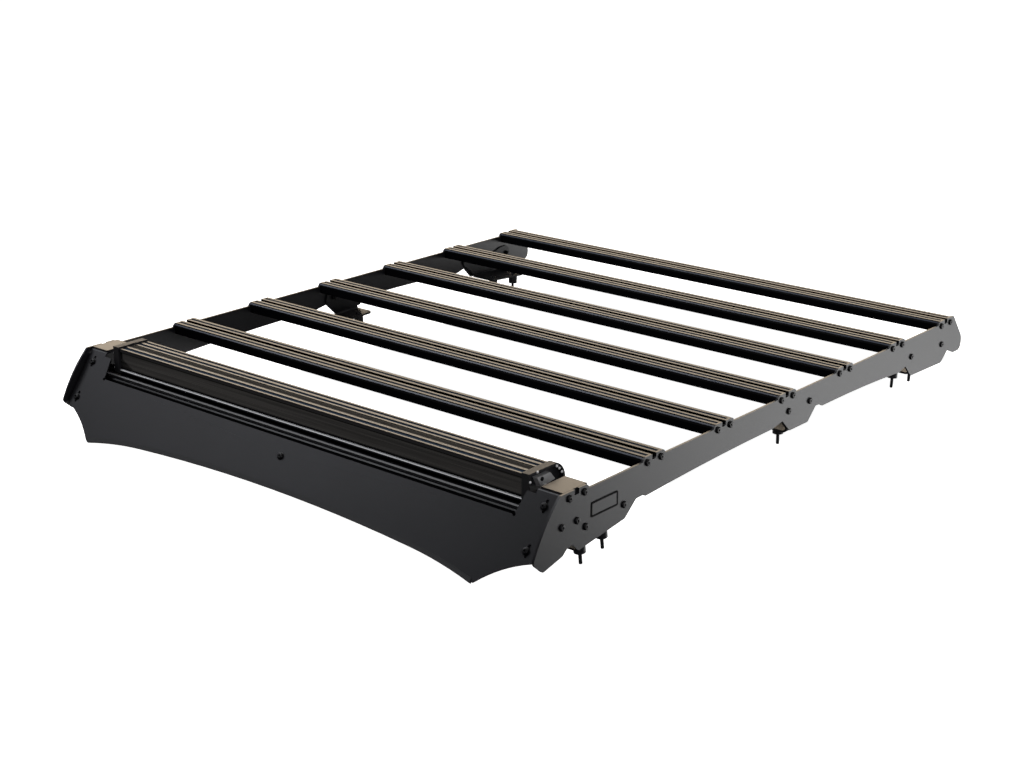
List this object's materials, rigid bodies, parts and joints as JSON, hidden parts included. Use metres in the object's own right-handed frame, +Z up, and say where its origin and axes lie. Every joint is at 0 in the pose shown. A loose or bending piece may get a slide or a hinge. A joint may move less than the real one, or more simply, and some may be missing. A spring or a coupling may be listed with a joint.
{
  "type": "flat platform roof rack",
  "caption": "Low flat platform roof rack with slotted aluminium slats, cut side plates, a wind deflector with a built-in light bar, and folded feet with studs",
  "frame": {"origin": "the middle of the bounding box's base, at the height of the lowest stud tips", "axes": "+Z is up, +Y runs from the wind deflector to the rear end, and +X is to the right of someone who stands before the deflector and looks along +Y"},
  "size_m": [1.166, 1.4066, 0.1608],
  "materials": {
    "coated_plate": "satin black powder coat",
    "coated_slat": "satin black powder coat on extruded aluminium",
    "bar_housing": "black anodised",
    "bar_lens": "smoked clear lens",
    "bar_cap": "matt black",
    "edge_rubber": "matt",
    "spacer_black": "satin black",
    "stud_steel": "dark zinc coated"
  },
  "bodies": {
    "root": {"corner_bracket_left": "coated_plate", "corner_bracket_right": "coated_plate", "deflector_bracket_left": "coated_plate", "deflector_bracket_right": "coated_plate", "deflector_edge_trim": "edge_rubber", "deflector_stay": "coated_plate", "foot_front_left": "coated_plate", "foot_front_right": "coated_plate", "foot_mid_left": "coated_plate", "foot_mid_right": "coated_plate", "foot_rear_left": "coated_plate", "foot_rear_right": "coated_plate", "foot_spacers_front_left": "spacer_black", "foot_spacers_front_right": "spacer_black", "foot_spacers_mid_left": "spacer_black", "foot_spacers_mid_right": "spacer_black", "foot_spacers_rear_left": "spacer_black", "foot_spacers_rear_right": "spacer_black", "foot_studs_front_left": "stud_steel", "foot_studs_front_right": "stud_steel", "foot_studs_mid_left": "stud_steel", "foot_studs_mid_right": "stud_steel", "foot_studs_rear_left": "stud_steel", "foot_studs_rear_right": "stud_steel", "front_slat": "coated_slat", "light_bar_bracket_left": "coated_plate", "light_bar_bracket_right": "coated_plate", "light_bar_end_cap_left": "bar_cap", "light_bar_end_cap_right": "bar_cap", "light_bar_housing": "bar_housing", "light_bar_lens": "bar_lens", "side_plate_left": "coated_plate", "side_plate_right": "coated_plate", "slat_1": "coated_slat", "slat_2": "coated_slat", "slat_3": "coated_slat", "slat_4": "coated_slat", "slat_5": "coated_slat", "slat_6": "coated_slat", "wind_deflector": "coated_plate"}
  },
  "joints": []
}
